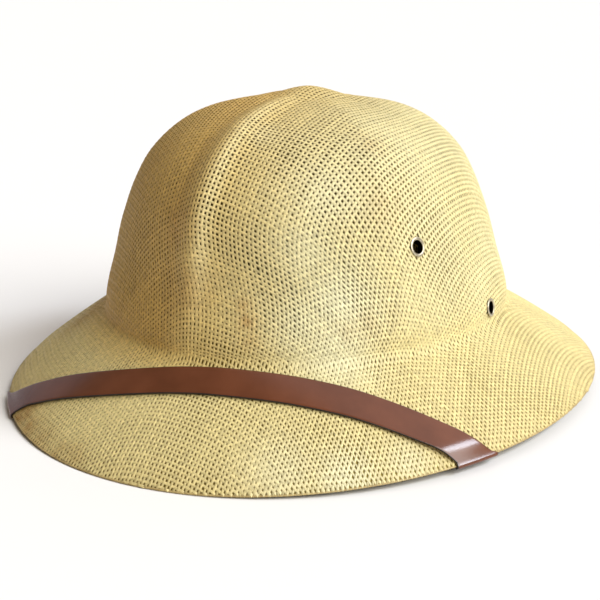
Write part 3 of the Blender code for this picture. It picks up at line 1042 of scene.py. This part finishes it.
# The strap's sections in order, as index, side and fold
def strapPlaces():
    folds = [k for k, row in enumerate(strapLine) if row[1] == 1.0]
    places = []
    for k in range(len(strapLine) - 1):
        side = 1 if folds[0] <= k < folds[1] else -1
        if k in folds:
            angles = np.linspace(math.pi, 0.0, strap["foldSteps"] + 1)
            places += [(k, side, fold) for fold in (angles if side > 0 else angles[::-1])]
        else:
            places.append((k, side, None))
        places += [(k + n / strap["stepsPerRow"], side, None) for n in range(1, strap["stepsPerRow"])]
    return places + [(len(strapLine) - 1, -1, None)]


def makeStrap(finishes):
    shares, lifts, sides = strapProfile()
    rows = np.array([strapSection(*place, shares, lifts) for place in strapPlaces()])
    rows = np.concatenate([rows, rows[:, :1]], axis=1)
    print("strap:", len(rows), "sections")
    addPiece("chinStrap", wrapGrid(rows, sides), finishes, "strap_leather", "chin_strap")


# One eyelet, spun round Z: a rolled flange above the cloth, a barrel through it, a flat flange below
def eyeletMesh():
    barrel = eyelets["holeRadius"] + eyelets["metal"]
    below = -form["wall"] - eyelets["clearance"] - eyelets["backSeat"]
    middle = 0.5 * (eyelets["holeRadius"] + eyelets["radius"])
    profile = [(eyelets["holeRadius"], below - eyelets["metal"])]
    for k in range(eyelets["rollSteps"] + 1):
        angle = math.pi * (1.0 - k / eyelets["rollSteps"])
        out = (eyelets["radius"] - middle) * math.cos(angle)
        profile.append((middle + out, eyelets["clearance"] + eyelets["roll"] * math.sin(angle)))
    profile += [(barrel, eyelets["clearance"]), (barrel, below), (eyelets["backRadius"], below)]
    profile += [(eyelets["backRadius"], below - eyelets["metal"])]
    mesh = bmesh.new()
    corners = [mesh.verts.new((radius, 0.0, height)) for radius, height in profile]
    edges = [mesh.edges.new(pair) for pair in zip(corners, corners[1:] + corners[:1])]
    bmesh.ops.spin(
        mesh, geom=corners + edges, cent=(0, 0, 0), axis=(0, 0, 1), angle=2.0 * math.pi,
        steps=eyelets["steps"], use_merge=True,
    )
    bmesh.ops.remove_doubles(mesh, verts=mesh.verts[:], dist=mergeDistance)
    sortByPlace(mesh)
    bmesh.ops.recalc_face_normals(mesh, faces=mesh.faces[:])
    for face in mesh.faces:
        inBarrel = face.calc_center_median().z < eyelets["clearance"] - mergeDistance
        face.material_index = 1 if inBarrel else 0
    return mesh


def makeEyelets(finishes):
    for name, seat in seats:
        mesh = eyeletMesh()
        bmesh.ops.transform(mesh, matrix=seat, verts=mesh.verts[:])
        piece = "eyelet" + name.title().replace("_", "")
        addPiece(piece, mesh, finishes, "eyelet_brass", f"eyelet_{name}")
    print("eyelets:", len(seats))


# The straw at the cut edge, smoother and browner than the weave: the brown is painted shade, a dark line
# that outlines the brim, with fibres in grains about 3 mm long
def edgeShadeStrawMaterial():
    return mottledMaterial("strawCutEdgeShade", 300.0, 2.0, "9c8452", "bda66e", roughness=0.5)[0]


# Painted shade in the holes: a thin, dull brown skin, which makes the holes look olive brown and not
# see-through. It is paler on the brim and on the wearer's left, which is turned to the key lamp, in
# clouds about 20 mm wide.
def holeShadeFilmMaterial():
    material, tree, shader = newMaterial("paintedHoleShade")
    place = addNode(tree, "ShaderNodeTexCoord").outputs["Object"]
    axes = addNode(tree, "ShaderNodeSeparateXYZ", {"Vector": place}).outputs
    onBrim = addNode(
        tree, "ShaderNodeMapRange", {"Value": axes["Z"], "From Min": 0.055, "From Max": 0.035}
    ).outputs["Result"]
    cloud = addNode(
        tree, "ShaderNodeTexNoise", {"Vector": place, "Scale": 50.0, "Detail": 3.0}
    ).outputs["Fac"]
    share = addNode(
        tree, "ShaderNodeMath", {0: cloud, 1: 0.7, 2: onBrim}, operation="MULTIPLY_ADD"
    ).outputs[0]
    colour = addNode(
        tree, "ShaderNodeValToRGB", {"Fac": share},
        stops=((0.25, strawColours["holeShadeCrown"]), (0.9615385, strawColours["holeShadeBrim"])),
    ).outputs["Color"]
    left = addNode(
        tree, "ShaderNodeMapRange",
        {"Value": axes["X"], "From Min": 0.050, "From Max": 0.110, "To Max": 0.8},
    ).outputs["Result"]
    # Painted light: the film is paler on the wearer's left, which is turned to the key lamp
    paintedLitSide = addNode(
        tree, "ShaderNodeMix", {"Factor": left, "A": colour, "B": linear(strawColours["holeShadeLitSide"])},
        data_type="RGBA",
    )
    tree.links.new(paintedLitSide.outputs["Result"], shader.inputs["Base Color"])
    shader.inputs["Roughness"].default_value = 0.7
    shader.inputs["Specular IOR Level"].default_value = 0.1
    return material


def leatherMaterials():
    # Cowhide, smooth side polished with wax: a clear gloss over brown, in clouds about 17 mm wide
    face, tree, shader, place = mottledMaterial(
        "leatherPolished", 60.0, 4.0, "5c321e", "6c3d27", roughness=0.2
    )
    # Its pores, drawn as coarse as 0.7 mm to show, break the gloss up where it fades
    pores = addNode(
        tree, "ShaderNodeTexNoise", {"Vector": place, "Scale": 1400.0, "Detail": 2.0}
    ).outputs["Fac"]
    bump = addNode(tree, "ShaderNodeBump", {"Height": pores, "Strength": 0.12, "Distance": 0.0002})
    tree.links.new(bump.outputs["Normal"], shader.inputs["Normal"])
    # Its cut edges, dyed and painted nearly black, worn every 4 mm or so: a dark line along the strap
    edge = mottledMaterial("leatherEdgePaint", 250.0, 3.0, "17100e", "281c17", roughness=0.4)[0]
    # Its flesh side, rough and matt, with a nap in tufts of about 2 mm
    back = mottledMaterial("leatherFleshSide", 500.0, 3.0, "7a5640", "94705a", roughness=0.9)[0]
    return [face, edge, back]


def brassMaterials():
    # Brass, pressed and rolled, gone dull with age: soft bright rings, greyer in 1.4 mm specks of grime
    bright = mottledMaterial(
        "brassRolledAged", 700.0, 3.0, "a99f86", "d6cdb6", roughness=0.35, metallic=1.0
    )[0]
    # Brass inside the barrel, made nearly black in 2 mm spots: painted shade, so the barrel's hole looks
    # dark
    dark = mottledMaterial(
        "brassBarrelShade", 500.0, 3.0, "1c1710", "30281a", roughness=0.6, metallic=1.0
    )[0]
    return [bright, dark]


stage = {
    "floorSize": 24.0,
    "floorColour": "efeeec",
    "worldColour": "ffe6be",
    "worldStrength": 0.18,
}

# Broad soft lamps, most of the light from the wearer's left: the glint and the sheen make the bands of
# gloss on the strap's left and right, and the lamp at the back lights the top
suns = (
    # name, turn, height, strength, angle, colour
    ("key", 83.0, 36.0, 3.1, 46.0, "fffefb"),
    ("glint", 115.0, 41.0, 1.4, 17.0, "e8f1ff"),
    ("back", 178.0, 52.0, 1.0, 70.0, "f6f6ff"),
    ("sheen", -112.0, 12.0, 0.14, 40.0, "dfe4ff"),
)


# Towards a lamp or the camera, from its turn round the hat and its height, both in degrees
def direction(turn, height):
    turn, height = math.radians(turn), math.radians(height)
    level = math.cos(height)
    return Vector((math.sin(turn) * level, -math.cos(turn) * level, math.sin(height)))


def buildStage():
    mesh = bmesh.new()
    bmesh.ops.create_grid(mesh, x_segments=1, y_segments=1, size=0.5 * stage["floorSize"])
    data = bpy.data.meshes.new("floor")
    mesh.to_mesh(data)
    mesh.free()
    # White backdrop paper, coated and rolled smooth: matt and even, so it shows only soft shadows
    material, _, shader = newMaterial("floorPaper")
    shader.inputs["Base Color"].default_value = linear(stage["floorColour"])
    shader.inputs["Roughness"].default_value = 0.9
    data.materials.append(material)
    floor = bpy.data.objects.new("floor", data)
    bpy.context.scene.collection.objects.link(floor)

    world = bpy.data.worlds.new("studio")
    world.use_nodes = True
    fill = world.node_tree.nodes["Background"]
    fill.inputs["Color"].default_value = linear(stage["worldColour"])
    fill.inputs["Strength"].default_value = stage["worldStrength"]
    bpy.context.scene.world = world

    for name, turn, height, strength, angle, colour in suns:
        lamp = bpy.data.lights.new(name, "SUN")
        lamp.energy = strength
        lamp.angle = math.radians(angle)
        lamp.color = linear(colour)[:3]
        sun = bpy.data.objects.new(name, lamp)
        sun.rotation_euler = direction(turn, height).to_track_quat("Z", "Y").to_euler()
        bpy.context.scene.collection.objects.link(sun)
    bpy.context.scene.view_settings.view_transform = "Standard"
    print("stage:", len(suns), "lamps over the floor")


# The camera of the photograph, worked out from the hat's outline. The target's pixel gives the shift.
camera = {
    "target": (0.0, -0.002, 0.042),
    "targetPixel": (312.34, 292.29),
    "turn": 27.806,
    "height": 15.940,
    "roll": 0.793,
    "distance": 0.67856,
    "lens": 74.22,
    "imageSize": 600.0,
}


def addCamera():
    turn, roll = math.radians(camera["turn"]), math.radians(camera["roll"])
    back = direction(camera["turn"], camera["height"])
    level = Vector((math.cos(turn), math.sin(turn), 0.0))
    upright = back.cross(level)
    right = math.cos(roll) * level + math.sin(roll) * upright
    up = math.cos(roll) * upright - math.sin(roll) * level
    lens = bpy.data.cameras.new("camera")
    lens.lens = camera["lens"]
    lens.shift_x = 0.5 - camera["targetPixel"][0] / camera["imageSize"]
    lens.shift_y = camera["targetPixel"][1] / camera["imageSize"] - 0.5
    eye = bpy.data.objects.new("camera", lens)
    turned = Matrix((right, up, back)).transposed().to_4x4()
    eye.matrix_world = Matrix.Translation(Vector(camera["target"]) + camera["distance"] * back) @ turned
    bpy.context.scene.collection.objects.link(eye)
    bpy.context.scene.camera = eye
    print("camera:", camera["lens"], "mm,", camera["distance"], "m away")


addCamera()
buildStage()
weaveHat([
    strawMaterial("strawWovenPaper", darkening=1.0),
    strawMaterial("strawWovenUnderside", darkening=0.1),
])
holeShadeFilm(holeShadeFilmMaterial())
sealBrimEdge(edgeShadeStrawMaterial())
makeStrap(leatherMaterials())
makeEyelets(brassMaterials())
